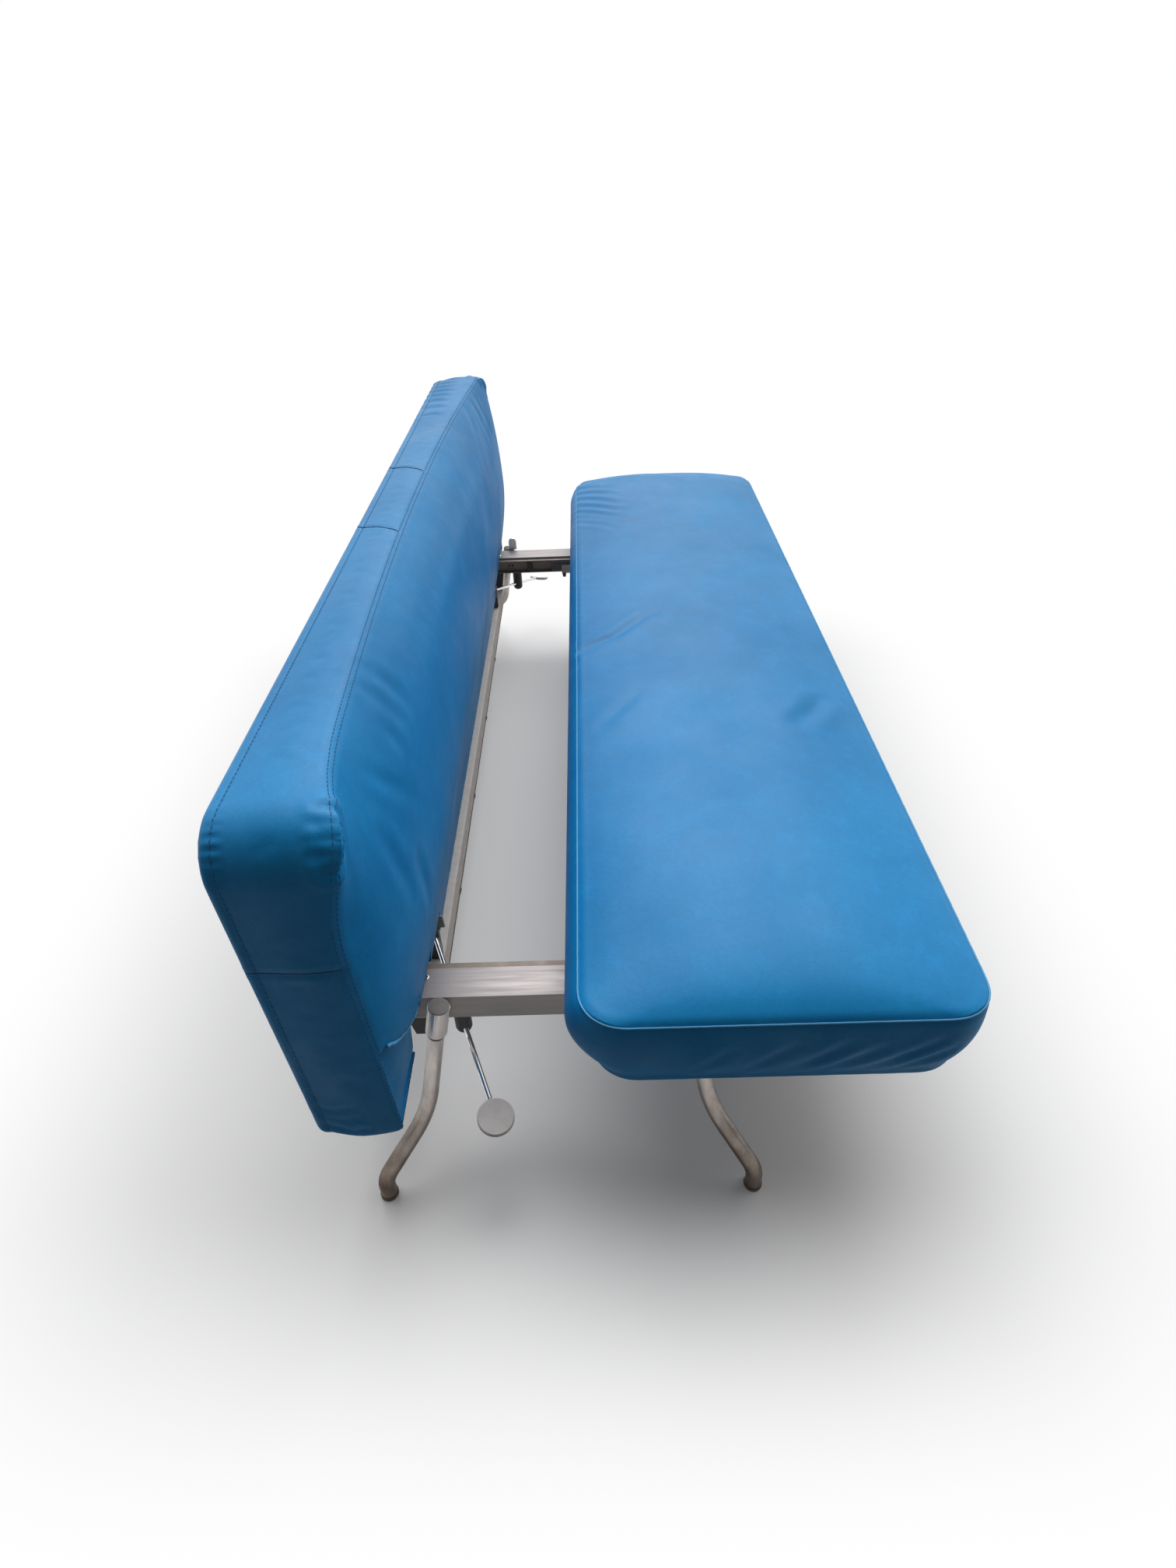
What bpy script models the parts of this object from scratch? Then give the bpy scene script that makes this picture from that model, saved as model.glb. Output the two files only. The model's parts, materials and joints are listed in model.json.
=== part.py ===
import math

import bmesh
import bpy
from mathutils import Vector

# Driving dimensions, in metres and degrees. X is the length, +Y the rear, +Z up.
LENGTH = 2.000            # cushion length, seam to seam
SEAT_DEPTH = 0.516        # seat cushion, front seam to rear seam
BACK_HEIGHT = 0.525       # back cushion, lower seam to upper seam
BOXING = 0.118            # side band of both cushions
SEAT_CROWN = 0.036        # rise of the seat's top panel above its seam
BACK_CROWN = 0.050        # swell of the back's front panel ahead of its seam
CORNER_R = 0.062          # plan radius of the cushion corners
HEEL_R = 0.016            # plan radius of the back's lower corners
SEAT_TUCK = 0.020         # how far the seat's band is drawn in at its foot
SEAM_HEIGHT = 0.420       # seat seam above the floor
SEAT_GAP = 0.249          # seat rear seam to the back's front seam
RECLINE = 2.8             # lean of the back from upright
PIVOT_IN = 0.021          # hinge axis behind the back's front seam
PIVOT_UP = 0.190          # hinge axis above the back's lower seam
BOARD_T = 0.014           # base boards
RUN_CLEAR = 0.0062        # air between moving cushions and the frame
BEAM_W = 0.055            # cross beam, along X
BEAM_H = 0.046            # cross beam, along Z
BEAM_WALL = 0.0025
BEAM_LEN = 0.570          # cross beam, along Y
BEAM_INSET = 0.1975       # beam centre from the cushion end
FRAME_Y = 0.025           # middle of the beams behind the seat's rear seam
TUBE_R = 0.0125           # leg tube
COLLAR_WALL = 0.0034      # leg socket
COLLAR_LEN = 0.056
LEG_Y = 0.180             # leg top from the frame's middle
LEG_RAKE = 10.9           # lean of the leg tops
FOOT_OUT = 0.125          # foot beyond the leg top, along X
FOOT_Y = 0.276            # foot from the frame's middle
CHANNEL_D = 0.014         # slide channel depth
CHANNEL_H = 0.036         # slide channel height
PLATE_T = 0.004           # folded plate parts
ROD_R = 0.004
ROD_YAW = 22.1            # release rod, turned from the length
ROD_RISE = 16.5           # release rod, rising inwards
ROD_IN = 0.166            # inner reach of the release rod, along X
ROD_OUT = 0.113           # outer reach of the release rod, along X
KNOB_R = 0.0275
KNOB_T = 0.008
FIT = 0.0003              # air between fixed pieces

# Levels and stations worked out from the sizes above.
SEAT_LOW = SEAM_HEIGHT - BOXING
BOARD_TOP = SEAT_LOW - FIT
BOARD_LOW = BOARD_TOP - BOARD_T
BEAM_TOP = BOARD_LOW - RUN_CLEAR
BEAM_LOW = BEAM_TOP - BEAM_H
BEAM_MID = (BEAM_TOP + BEAM_LOW) / 2
BEAM_X = LENGTH / 2 - BEAM_INSET
BEAM_IN = BEAM_X - BEAM_W / 2
BEAM_OUT = BEAM_X + BEAM_W / 2
BEAM_Y0 = FRAME_Y - BEAM_LEN / 2
BEAM_Y1 = FRAME_Y + BEAM_LEN / 2
PIVOT_Y = SEAT_GAP + PIVOT_IN
PIVOT_Z = SEAM_HEIGHT - PIVOT_IN
R_BEAM = PIVOT_Z - BEAM_TOP
R_CUT = R_BEAM - 0.006
REAR_V = BOXING - PIVOT_IN - BOARD_T - FIT
BOARD_V0 = REAR_V + FIT
BOARD_V1 = BOARD_V0 + BOARD_T
SWING_R = math.hypot(BOARD_V1, PIVOT_UP)
COLLAR_R = TUBE_R + FIT + COLLAR_WALL
LEG_X = BEAM_OUT + FIT + COLLAR_R
STRETCH_TOP = PIVOT_Z - SWING_R - 0.0035
STRETCH_H = 0.045
STRETCH_Y0 = FRAME_Y + 0.207
STRETCH_Y1 = STRETCH_Y0 + 0.030
BUSH_R = 0.013
BUSH_LEN = 0.062
BUSH_Y = FRAME_Y + 0.159
ROD_Z = BEAM_LOW - 0.0455
LOCK_X = BEAM_X - ROD_IN
SLOT_IN = BEAM_IN - CHANNEL_D - 0.019
SLOT_OUT = LEG_X + COLLAR_R + RUN_CLEAR
LEAN = math.radians(RECLINE)
BULGE = 0.005
SEAT_BULGE = 0.016
BOARD_IN = 0.008
SEAT_BOARD_IN = SEAT_TUCK + 0.012
TRAVEL = PIVOT_Y - PIVOT_UP - BULGE - SEAT_BULGE - 0.004
REAR_TOP = (PIVOT_Y + BOARD_V1 * math.cos(LEAN)
            + (BACK_HEIGHT - PIVOT_UP - BOARD_IN) * math.sin(LEAN))
Y_SHIFT = -(REAR_TOP - SEAT_DEPTH - BULGE) / 2

for old in list(bpy.data.objects):
    bpy.data.objects.remove(old, do_unlink=True)

PALETTE = {
    "leatherette": ((0.035, 0.19, 0.42), 0.42, 0.0),
    "lining": ((0.05, 0.06, 0.08), 0.85, 0.0),
    "satin_metal": ((0.62, 0.61, 0.60), 0.38, 0.9),
    "tube_metal": ((0.56, 0.55, 0.52), 0.42, 0.8),
    "bright_rod": ((0.82, 0.82, 0.82), 0.12, 1.0),
    "dark_steel": ((0.10, 0.10, 0.10), 0.5, 0.7),
    "black_plastic": ((0.02, 0.02, 0.022), 0.5, 0.0),
    "pale_plastic": ((0.62, 0.56, 0.48), 0.55, 0.0),
    "nylon": ((0.17, 0.15, 0.13), 0.5, 0.0),
    "ply": ((0.46, 0.33, 0.20), 0.7, 0.0),
    "rail_beige": ((0.60, 0.52, 0.42), 0.7, 0.0),
}


def material(name, kind):
    colour, rough, metal = PALETTE[kind]
    mat = bpy.data.materials.new(name)
    mat.use_nodes = True
    shader = mat.node_tree.nodes["Principled BSDF"]
    shader.inputs["Base Color"].default_value = (*colour, 1.0)
    shader.inputs["Roughness"].default_value = rough
    shader.inputs["Metallic"].default_value = metal
    return mat


def group(name, parent=None, place=(0, 0, 0), turn_x=0.0):
    empty = bpy.data.objects.new(name, None)
    bpy.context.collection.objects.link(empty)
    empty.parent = parent
    empty.location = place
    empty.rotation_euler = (turn_x, 0, 0)
    return empty


ROOT = group("couch", None, (0, Y_SHIFT, 0))
FRAME = group("frame_group", ROOT)
SEAT = group("seat_group", ROOT)
BACK = group("back_group", ROOT, (0, PIVOT_Y, PIVOT_Z), -LEAN)


def add(name, bm, kind, parent, cutter=False):
    bmesh.ops.recalc_face_normals(bm, faces=bm.faces)
    mesh = bpy.data.meshes.new(name)
    bm.to_mesh(mesh)
    bm.free()
    mesh.shade_smooth()
    mesh.set_sharp_from_angle(angle=math.radians(32))
    obj = bpy.data.objects.new(name, mesh)
    bpy.context.collection.objects.link(obj)
    if cutter:
        obj.hide_render = True
        obj.display_type = "WIRE"
    else:
        mesh.materials.append(material(name + "_mat", kind))
    obj.parent = parent
    return obj


def cut(obj, cutter):
    mod = obj.modifiers.new("cut", "BOOLEAN")
    mod.operation = "DIFFERENCE"
    mod.solver = "EXACT"
    mod.object = cutter


def box_mesh(low, high, round_r=0.0, segments=1):
    bm = bmesh.new()
    bmesh.ops.create_cube(bm, size=1.0)
    size = [h - l for l, h in zip(low, high)]
    mid = [(h + l) / 2 for l, h in zip(low, high)]
    bmesh.ops.scale(bm, vec=size, verts=bm.verts)
    bmesh.ops.translate(bm, vec=mid, verts=bm.verts)
    if round_r:
        bmesh.ops.bevel(bm, geom=list(bm.edges), offset=round_r,
                        segments=segments, affect="EDGES", profile=0.5)
    return bm


def prism_mesh(profile, x0, x1):
    """Extrude a (y, z) outline along X."""
    bm = bmesh.new()
    one = [bm.verts.new((x0, y, z)) for y, z in profile]
    two = [bm.verts.new((x1, y, z)) for y, z in profile]
    bm.faces.new(one)
    bm.faces.new(list(reversed(two)))
    count = len(profile)
    for i in range(count):
        j = (i + 1) % count
        bm.faces.new((one[j], one[i], two[i], two[j]))
    return bm


def section_mesh(profile, y0, y1):
    """Extrude an (x, z) outline along Y."""
    bm = bmesh.new()
    one = [bm.verts.new((x, y0, z)) for x, z in profile]
    two = [bm.verts.new((x, y1, z)) for x, z in profile]
    bm.faces.new(one)
    bm.faces.new(list(reversed(two)))
    count = len(profile)
    for i in range(count):
        j = (i + 1) % count
        bm.faces.new((one[j], one[i], two[i], two[j]))
    return bm


def rings(path, radius, segments, hint=Vector((1, 0, 0))):
    """Circles of points along a path, carried without twist."""
    out = []
    side = None
    for i, point in enumerate(path):
        before = path[max(i - 1, 0)]
        after = path[min(i + 1, len(path) - 1)]
        along = (after - before).normalized()
        side = hint if side is None else side
        side = (side - along * side.dot(along)).normalized()
        up = along.cross(side)
        r = radius[i] if isinstance(radius, (list, tuple)) else radius
        out.append([point + side * (r * math.cos(a)) + up * (r * math.sin(a))
                    for a in (2 * math.pi * k / segments for k in range(segments))])
    return out


def skin(loops, caps=True):
    bm = bmesh.new()
    rows = [[bm.verts.new(p) for p in loop] for loop in loops]
    count = len(rows[0])
    for a, b in zip(rows, rows[1:]):
        for i in range(count):
            j = (i + 1) % count
            bm.faces.new((a[i], a[j], b[j], b[i]))
    if caps:
        bm.faces.new(list(reversed(rows[0])))
        bm.faces.new(rows[-1])
    return bm


def rod_mesh(path, radius, segments=16, hint=Vector((1, 0, 0))):
    return skin(rings(path, radius, segments, hint))


def sleeve_mesh(path, outer, inner, segments=24, hint=Vector((1, 0, 0))):
    out = rings(path, outer, segments, hint)
    inn = rings(path, inner, segments, hint)
    loops = out + list(reversed(inn))
    bm = skin(loops + [loops[0]], caps=False)
    bmesh.ops.remove_doubles(bm, verts=bm.verts, dist=0.00001)
    return bm


def rounded_path(corners, radius, steps):
    """Polyline with its corners turned into short curves."""
    out = [corners[0]]
    for a, b, c in zip(corners, corners[1:], corners[2:]):
        into = (b - a).normalized()
        away = (c - b).normalized()
        turn = into.angle(away)
        reach = min(radius * math.tan(turn / 2), (b - a).length * 0.46,
                    (c - b).length * 0.46)
        p, q = b - into * reach, b + away * reach
        for k in range(steps + 1):
            t = k / steps
            out.append(p * (1 - t) ** 2 + b * (2 * t * (1 - t)) + q * t ** 2)
    out.append(corners[-1])
    return out


def round_rect(half_u, half_v, radius, heel, long_cuts, short_cuts, arc=6):
    """Closed outline of a rectangle, rounded by radius above and by heel below."""
    pts = []
    corners = ((1, 1, 0), (-1, 1, 90), (-1, -1, 180), (1, -1, 270))
    cuts = (long_cuts, short_cuts, long_cuts, short_cuts)
    for (su, sv, start), (tu, tv, _), n in zip(corners, corners[1:] + corners[:1], cuts):
        r = radius if sv > 0 else heel
        far = radius if tv > 0 else heel
        cu, cv = su * (half_u - r), sv * (half_v - r)
        for k in range(arc + 1):
            a = math.radians(start + 90 * k / arc)
            pts.append((cu + r * math.cos(a), cv + r * math.sin(a)))
        a = math.radians(start + 90)
        p = (cu + r * math.cos(a), cv + r * math.sin(a))
        q = (tu * (half_u - far) + far * math.cos(a), tv * (half_v - far) + far * math.sin(a))
        for k in range(1, n):
            t = k / n
            pts.append((p[0] + (q[0] - p[0]) * t, p[1] + (q[1] - p[1]) * t))
    return pts


def cushion_mesh(half_u, half_v, boxing, crown, low_crown, rear, tuck, heel, place):
    """Boxed cushion: drawn-in band, sewn edge channels and a crowned panel.

    rear is how far the band swells on the side of +v, tuck how far it is drawn in at its foot.
    place maps (along, across, out of the base) to the part's own frame.
    """
    more = rear - BULGE
    band = [(half_v - 0.008, 0.0, 0), (0.010 + tuck, 0.0, 0), (0.004 + tuck, 0.004, 0),
            (0.0015 + 0.9 * tuck, 0.010, 0), (0.004 + 0.8 * tuck, 0.014, 0),
            (0.25 * tuck, 0.30 * boxing, 0.7 * more), (-BULGE, 0.58 * boxing, more),
            (-0.003, 0.82 * boxing, 0.7 * more), (0.003, boxing - 0.005, 0),
            (0.0, boxing, 0), (0.0035, boxing + 0.0025, 0), (0.008, boxing + 0.0005, 0)]
    panel = [0.022, 0.05, 0.09, 0.14, 0.195, half_v - 0.008]

    def swell(u, v):
        a = max(0.0, 1 - abs(u / half_u) ** 5.0)
        shape, soft = low_crown if v < 0 else (2.6, 0.8)
        b = max(0.0, 1 - abs(v / half_v) ** shape)
        return crown * a ** 0.55 * b ** soft

    loops = []
    for inset, out, push in band:
        ring = round_rect(half_u - inset, half_v - inset, max(CORNER_R - inset, 0.006),
                          max(heel - inset, 0.006), 14, 4)
        loops.append([place(u, v + push * max(0.0, v / half_v) ** 6, out) for u, v in ring])
    for inset in panel:
        ring = round_rect(half_u - inset, half_v - inset, max(CORNER_R - inset, 0.005),
                          max(heel - inset, 0.005), 14, 4)
        loops.append([place(u, v, boxing + swell(u, v)) for u, v in ring])
    bm = skin(loops)
    bmesh.ops.triangulate(bm, faces=[f for f in bm.faces if len(f.verts) == 4])
    return bm


def board_mesh(half_u, half_v, thick, radius, heel, place):
    ring = round_rect(half_u, half_v, radius, heel, 1, 1, 5)
    return skin([[place(u, v, 0.0) for u, v in ring],
                 [place(u, v, thick) for u, v in ring]])


def back_place(u, v, out):
    """Cushion space to the back's own frame: axis at 0, front towards -Y."""
    return Vector((u, REAR_V - out, v + BACK_HEIGHT / 2 - PIVOT_UP))


def seat_place(u, v, out):
    return Vector((u, v - SEAT_DEPTH / 2, SEAT_LOW + out))


# Seat and back upholstery with their base boards.
add("seat_cushion", cushion_mesh(LENGTH / 2, SEAT_DEPTH / 2, BOXING, SEAT_CROWN, (2.6, 0.8),
                                 SEAT_BULGE, SEAT_TUCK, CORNER_R, seat_place),
    "leatherette", SEAT)
add("seat_board",
    board_mesh(LENGTH / 2 - SEAT_BOARD_IN, SEAT_DEPTH / 2 - SEAT_BOARD_IN, BOARD_T,
               CORNER_R - SEAT_BOARD_IN, CORNER_R - SEAT_BOARD_IN,
               lambda u, v, o: Vector((u, v - SEAT_DEPTH / 2, BOARD_LOW + o))),
    "ply", SEAT)
back_cushion = add("back_cushion",
                   cushion_mesh(LENGTH / 2, BACK_HEIGHT / 2, REAR_V + PIVOT_IN, BACK_CROWN,
                                (2.0, 1.3), BULGE, 0.0, HEEL_R, back_place),
                   "leatherette", BACK)
back_board = add("back_board",
                 board_mesh(LENGTH / 2 - BOARD_IN, BACK_HEIGHT / 2 - BOARD_IN, BOARD_T,
                            CORNER_R - BOARD_IN, HEEL_R - BOARD_IN,
                            lambda u, v, o: Vector((u, BOARD_V0 + o,
                                                    v + BACK_HEIGHT / 2 - PIVOT_UP))),
                 "lining", BACK)


def arc_points(radius, to_deg, steps=6):
    return [(radius * math.sin(math.radians(to_deg * k / steps)),
             -radius * math.cos(math.radians(to_deg * k / steps)))
            for k in range(steps + 1)]


FAR = PIVOT_UP + 0.1
R_ROD = R_CUT + 0.0285
STEP_DEG = math.degrees(math.asin((REAR_V - 0.010) / R_CUT))
STEP_W = -0.019
SLOPE_DEG = math.degrees(math.asin((REAR_V - 0.010) / R_ROD))
WIDE = ([(-FAR, -FAR), (-FAR, -R_CUT)] + arc_points(R_CUT, STEP_DEG)
        + [(REAR_V - 0.010, STEP_W), (FAR, STEP_W), (FAR, -FAR)])
LOW = ([(-FAR, -FAR), (-FAR, -R_ROD)] + arc_points(R_ROD, SLOPE_DEG)
       + [(BOARD_V1 + 0.004, -R_ROD * 0.60), (FAR, -R_ROD * 0.60), (FAR, -FAR)])
PIN_R = 0.006
EYE_R = 0.020
LEAF_X = 0.012
LEAF_T = 0.005
LEAF_UP = EYE_R + 0.008
UP = Vector((0, 0, 1))

for side, s in (("left", -1), ("right", 1)):

    def span(a, b):
        return sorted((s * a, s * b))

    # Notches that let the back swing clear of the beam, leg socket and rod.
    cutters = [
        prism_mesh(WIDE, *span(SLOT_IN, SLOT_OUT)),
        prism_mesh(LOW, *span(LOCK_X - 0.004, SLOT_IN + 0.001)),
    ]
    pocket = box_mesh((span(BEAM_X - 0.014, BEAM_X + 0.036)[0], -EYE_R - 0.006, -R_CUT - 0.02),
                      (span(BEAM_X - 0.014, BEAM_X + 0.036)[1], FAR, EYE_R + 0.014))
    slit = box_mesh((span(BEAM_X - 0.009, BEAM_X + 0.009)[0], 0.0, -R_CUT),
                    (span(BEAM_X - 0.009, BEAM_X + 0.009)[1], FAR, EYE_R + 0.006))
    for i, bm in enumerate(cutters):
        tool = add("notch_%s_%d" % (side, i), bm, "lining", BACK, True)
        cut(back_cushion, tool)
        cut(back_board, tool)
    cut(back_cushion, add("pocket_" + side, pocket, "lining", BACK, True))
    cut(back_board, add("slit_" + side, slit, "lining", BACK, True))

    # Cross beam, a box tube with a plug in each end.
    lo, hi = span(BEAM_IN, BEAM_OUT)
    outline = [(lo, BEAM_LOW), (hi, BEAM_LOW), (hi, BEAM_TOP), (lo, BEAM_TOP)]
    w = BEAM_WALL
    bore = [(lo + w, BEAM_LOW + w), (hi - w, BEAM_LOW + w),
            (hi - w, BEAM_TOP - w), (lo + w, BEAM_TOP - w)]
    loops = [[Vector((x, y, z)) for x, z in ring] for ring, y in
             ((outline, BEAM_Y0), (outline, BEAM_Y1), (bore, BEAM_Y1), (bore, BEAM_Y0))]
    beam = skin(loops + [loops[0]], caps=False)
    bmesh.ops.remove_doubles(beam, verts=beam.verts, dist=0.00001)
    add("beam_" + side, beam, "satin_metal", FRAME)
    for end, y0, y1 in (("front", BEAM_Y0 - FIT - 0.004, BEAM_Y0 - FIT),
                        ("rear", BEAM_Y1 + FIT, BEAM_Y1 + FIT + 0.004)):
        add("beam_cap_%s_%s" % (end, side),
            box_mesh((lo, y0, BEAM_LOW), (hi, y1, BEAM_TOP), 0.001), "black_plastic", FRAME)
    screw = [Vector((s * (BEAM_X - 0.010), BUSH_Y + 0.046, BEAM_TOP + z))
             for z in (FIT, 0.0016, 0.0024)]
    add("beam_screw_" + side, rod_mesh(screw, [0.0045, 0.0045, 0.0028], 12),
        "bright_rod", FRAME)

    # Legs: raked socket, S-bent tube, glide.
    rake = math.tan(math.radians(LEG_RAKE))
    for end, t in (("front", -1), ("rear", 1)):

        def at(x, y, z):
            return Vector((s * x, FRAME_Y + t * y, z))

        top = BEAM_TOP
        kink = top - 0.096
        axis_top = at(LEG_X, LEG_Y, top)
        axis_kink = at(LEG_X, LEG_Y + rake * 0.096, kink)
        down = (axis_kink - axis_top).normalized()
        add("leg_collar_%s_%s" % (end, side),
            sleeve_mesh([axis_top, axis_top + down * COLLAR_LEN], COLLAR_R, TUBE_R + FIT),
            "tube_metal", FRAME)
        knee = at(LEG_X + 0.37 * FOOT_OUT, LEG_Y + 0.36 * (FOOT_Y - LEG_Y), kink - 0.092)
        ankle = at(LEG_X + FOOT_OUT, FOOT_Y, 0.042)
        sole = at(LEG_X + FOOT_OUT, FOOT_Y, 0.006)
        path = rounded_path([axis_top + down * 0.0006, axis_kink, knee, ankle, sole], 0.11, 7)
        add("leg_%s_%s" % (end, side), rod_mesh(path, TUBE_R, 24), "tube_metal", FRAME)
        foot = [at(LEG_X + FOOT_OUT, FOOT_Y, z) for z in (0.0, 0.0012, 0.0057)]
        add("foot_glide_%s_%s" % (end, side),
            rod_mesh(foot, [TUBE_R - 0.0005, TUBE_R + 0.0012, TUBE_R + 0.0012], 24),
            "black_plastic", FRAME)

    # Slide channel on the beam's inner face, open towards the middle.
    web, mouth = BEAM_IN - FIT, BEAM_IN - FIT - CHANNEL_D
    z0, z1 = BEAM_MID - CHANNEL_H / 2, BEAM_MID + CHANNEL_H / 2
    c = 0.002
    run0, run1 = BEAM_Y0 + 0.018, 0.049
    shape = [(mouth, z0), (web, z0), (web, z1), (mouth, z1), (mouth, z1 - c),
             (web - c, z1 - c), (web - c, z0 + c), (mouth, z0 + c)]
    add("slide_channel_" + side,
        section_mesh([(s * x, z) for x, z in shape], BEAM_Y0 + 0.008, BEAM_Y1 - 0.070),
        "dark_steel", FRAME)
    # Stop block at the end of the seat's travel, where it meets a flat-lying back.
    stop = run1 + 0.030 + TRAVEL + 0.001
    x0, x1 = span(mouth + 0.001, web - c - FIT)
    add("slide_stop_" + side,
        box_mesh((x0, stop, z0 + c + FIT), (x1, stop + 0.014, z1 - c - FIT), 0.001),
        "black_plastic", FRAME)

    # Seat runner, an angle under the seat board, with two blocks in the channel.
    face = mouth - 0.0022
    flange = BOARD_LOW - FIT
    angle = [(face, BEAM_LOW + 0.0025), (face, flange), (face - 0.044, flange),
             (face - 0.044, flange - PLATE_T), (face - PLATE_T, flange - PLATE_T),
             (face - PLATE_T, BEAM_LOW + 0.0025)]
    runner = add("seat_runner_" + side,
                 section_mesh([(s * x, z) for x, z in angle], run0, run1), "satin_metal", SEAT)
    # Behind the seat board only a low plate goes on to the rear block.
    x0, x1 = span(face - 0.05, face + 0.01)
    cut(runner, add("runner_trim_" + side,
                    box_mesh((x0, -SEAT_BOARD_IN - 0.001, BEAM_TOP - 0.018), (x1, run1 + 0.01, BEAM_TOP + 0.02)),
                    "lining", SEAT, True))
    for end, y0, y1 in (("front", run0 + 0.004, run0 + 0.064),
                        ("rear", run1 - 0.030, run1 + 0.030)):
        x0, x1 = span(face + FIT, web - c - 0.0006)
        add("slider_%s_%s" % (end, side),
            box_mesh((x0, y0, z0 + c + 0.0006), (x1, y1, z1 - c - 0.0006), 0.0012),
            "nylon", SEAT)
    stud = [Vector((s * (face - PLATE_T / 2), run1 - 0.007, BEAM_LOW + 0.0025 + z))
            for z in (-FIT, -0.006, -0.011)]
    add("runner_bumper_" + side, rod_mesh(stud, [0.0055, 0.0055, 0.004], 12),
        "black_plastic", SEAT)

    # Hinge: upright plate on the beam, pin, and a leaf on the back board.
    eye = [(EYE_R * math.cos(math.radians(a)), EYE_R * math.sin(math.radians(a)))
           for a in range(0, 181, 15)]
    plate = [(PIVOT_Y + y, PIVOT_Z + z) for y, z in eye]
    plate += [(PIVOT_Y - EYE_R, BEAM_TOP + FIT), (PIVOT_Y + EYE_R, BEAM_TOP + FIT)]
    hinge_plate = add("hinge_plate_" + side,
                      prism_mesh(plate, *span(BEAM_X - 0.004, BEAM_X + 0.004)),
                      "satin_metal", FRAME)
    hole = [Vector((s * (BEAM_X + x), PIVOT_Y, PIVOT_Z)) for x in (-0.02, 0.05)]
    tool = add("eye_" + side, rod_mesh(hole, PIN_R + FIT, 20, UP), "lining", FRAME,
               cutter=True)
    cut(hinge_plate, tool)
    pin = [Vector((s * (BEAM_X + x), PIVOT_Y, PIVOT_Z)) for x in (-0.011, 0.022)]
    add("hinge_pin_" + side, rod_mesh(pin, PIN_R, 20, UP), "bright_rod", FRAME)
    lug = 0.016
    arm = [(lug * math.cos(math.radians(a)), lug * math.sin(math.radians(a)))
           for a in range(90, 271, 15)]
    arm += [(BOARD_V0 - FIT, -lug), (BOARD_V0 - FIT, LEAF_UP),
            (BOARD_V0 - FIT - 0.030, lug)]
    leaf = add("hinge_leaf_" + side,
               prism_mesh(arm, *span(BEAM_X + LEAF_X, BEAM_X + LEAF_X + LEAF_T)),
               "dark_steel", BACK)
    cut(leaf, tool)
    foot = box_mesh((span(BEAM_X + LEAF_X + LEAF_T + FIT, BEAM_X + 0.034)[0],
                     BOARD_V0 - FIT - 0.004, -lug),
                    (span(BEAM_X + LEAF_X + LEAF_T + FIT, BEAM_X + 0.034)[1],
                     BOARD_V0 - FIT, LEAF_UP))
    add("leaf_foot_" + side, foot, "dark_steel", BACK)

    # Stretcher hangers under the beam.
    hang0, hang1 = span(BEAM_IN + 0.004, BEAM_IN + 0.024)
    low = STRETCH_TOP - STRETCH_H * 0.55
    gusset = [(STRETCH_Y0 - 0.010, BEAM_LOW - FIT), (STRETCH_Y1 + 0.018, BEAM_LOW - FIT),
              (STRETCH_Y1, low), (STRETCH_Y0 + 0.002, low)]
    add("stretcher_hanger_" + side, prism_mesh(gusset, hang0, hang1), "black_plastic", FRAME)

    # Release rod through a bush under the beam and a guide on the stretcher.
    yaw, rise = math.radians(ROD_YAW), math.radians(ROD_RISE)
    inward = Vector((-s * math.cos(rise) * math.cos(yaw), math.cos(rise) * math.sin(yaw),
                     math.sin(rise)))
    hub = Vector((s * BEAM_X, BUSH_Y, ROD_Z))
    tip = hub + inward * (ROD_IN / abs(inward.x) - 0.0015)
    tail = hub - inward * (ROD_OUT / abs(inward.x))
    pull = group("release_group_" + side, ROOT, hub)
    add("release_rod_" + side, rod_mesh([tail - hub, tip - hub], ROD_R, 16, UP),
        "bright_rod", pull)
    bore = add("rod_bore_" + side,
               rod_mesh([tail, tip + inward * 0.02], ROD_R + 0.0005, 16, UP),
               "lining", FRAME, cutter=True)
    barrel = [Vector((hub.x, hub.y, BEAM_LOW - z))
              for z in (FIT, BUSH_LEN - 0.008, BUSH_LEN - 0.003, BUSH_LEN)]
    bush = add("rod_bush_" + side,
               rod_mesh(barrel, [BUSH_R, BUSH_R, BUSH_R * 0.85, BUSH_R * 0.5], 24),
               "black_plastic", FRAME)
    cut(bush, bore)
    guide_mid = hub + inward * ((ROD_IN - 0.025) / abs(inward.x))
    guide = add("rod_guide_" + side,
                box_mesh((guide_mid.x - 0.0065, STRETCH_Y0 + 0.001, STRETCH_TOP + FIT),
                         (guide_mid.x + 0.0065, STRETCH_Y1 - 0.001, guide_mid.z + 0.0125),
                         0.0015), "black_plastic", FRAME)
    cut(guide, bore)
    normal = (UP - inward * inward.dot(UP)).normalized()
    heart = tail - hub - inward * (KNOB_R + FIT)
    disc = [heart + normal * h for h in (-KNOB_T / 2, -KNOB_T / 2 + 0.002,
                                         KNOB_T / 2 - 0.002, KNOB_T / 2)]
    add("release_knob_" + side,
        rod_mesh(disc, [KNOB_R - 0.002, KNOB_R, KNOB_R, KNOB_R - 0.002], 36, inward),
        "pale_plastic", pull)

    # Lock plate beside the notch, where the rod's tip presses.
    x0, x1 = span(LOCK_X - 0.0037, LOCK_X - 0.0007)
    pad_top = -R_ROD - 0.002
    pad = [(BOARD_V1, -PIVOT_UP + 0.008), (BOARD_V1, pad_top), (-PIVOT_IN, pad_top),
           (-PIVOT_IN - 0.012, pad_top - 0.010), (-PIVOT_IN - 0.012, -PIVOT_UP + 0.014)]
    add("lock_plate_" + side, prism_mesh(pad, x0, x1), "satin_metal", BACK)

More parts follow.
